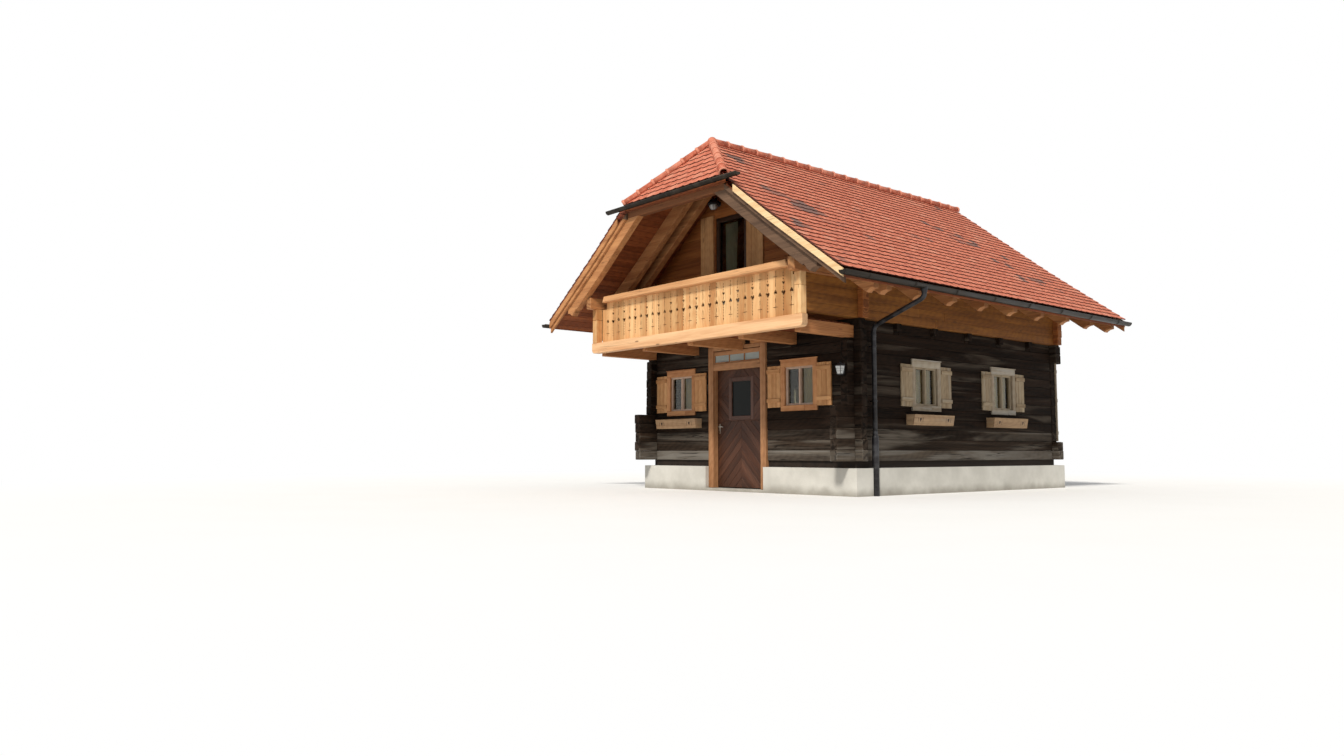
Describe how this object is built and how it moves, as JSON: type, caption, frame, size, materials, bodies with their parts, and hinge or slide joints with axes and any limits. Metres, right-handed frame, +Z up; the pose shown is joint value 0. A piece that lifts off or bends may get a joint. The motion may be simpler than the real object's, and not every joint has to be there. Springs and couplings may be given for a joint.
{
  "type": "alpine chalet",
  "caption": "Log chalet with a half-hipped tiled roof, a carved gable balcony, shuttered windows and a hinged front door.",
  "frame": {"origin": "on the lowest ground, under the middle of the whole outline", "axes": "+X to the right of the door front, +Y from the front to the back along the ridge, +Z up"},
  "size_m": [6.9786, 7.8302, 5.6768],
  "materials": {
    "weathered_logs": "sawn, weathered dark",
    "warm_timber": "planed, honey stain",
    "pale_larch": "planed, clear finish",
    "brown_boards": "planed, brown stain",
    "concrete": "cast, painted pale",
    "clay_tiles": "fired, matt",
    "dark_metal": "dark paint",
    "handle_metal": "brushed",
    "window_glass": "clear",
    "lamp_glass": "opal, gloss"
  },
  "bodies": {
    "house": {"back_gable_wall": "warm_timber", "back_wall": "weathered_logs", "balcony_deck": "warm_timber", "balcony_door": "warm_timber", "balcony_front_beam": "warm_timber", "balcony_handrail": "pale_larch", "balcony_posts": "warm_timber", "balcony_railing": "pale_larch", "barge_boards": "pale_larch", "console_beams": "warm_timber", "corner_board": "pale_larch", "door_frame": "pale_larch", "door_hinge_pins": "handle_metal", "downpipes": "dark_metal", "eave_purlins": "warm_timber", "floor_joists": "weathered_logs", "flower_boxes": "brown_boards", "foundation": "concrete", "front_gable_wall": "warm_timber", "front_wall_left": "weathered_logs", "front_wall_over_door": "weathered_logs", "front_wall_right": "weathered_logs", "ground_floor": "concrete", "gutters": "dark_metal", "hip_plate": "pale_larch", "lamps": "lamp_glass", "left_wall": "weathered_logs", "plinth": "weathered_logs", "rafters_left": "warm_timber", "rafters_right": "warm_timber", "ridge_caps": "clay_tiles", "right_wall": "weathered_logs", "roof_boards_hip": "warm_timber", "roof_boards_left": "warm_timber", "roof_boards_right": "warm_timber", "roof_tiles_hip": "clay_tiles", "roof_tiles_left": "clay_tiles", "roof_tiles_right": "clay_tiles", "upper_floor": "warm_timber", "upper_left_wall": "warm_timber", "upper_right_wall": "warm_timber", "window_frames": "warm_timber", "window_panes": "window_glass", "window_shutters": "warm_timber"},
    "front_door": {"door_leaf": "brown_boards", "door_window": "window_glass", "door_handle": "handle_metal"}
  },
  "joints": [
    {"name": "front_door_hinge", "type": "hinge", "parent": "house", "child": "front_door", "pos_m": [0.4375, -2.12885, 1.05], "axis": [0, 0, -1], "range_deg": [0, 100]}
  ]
}
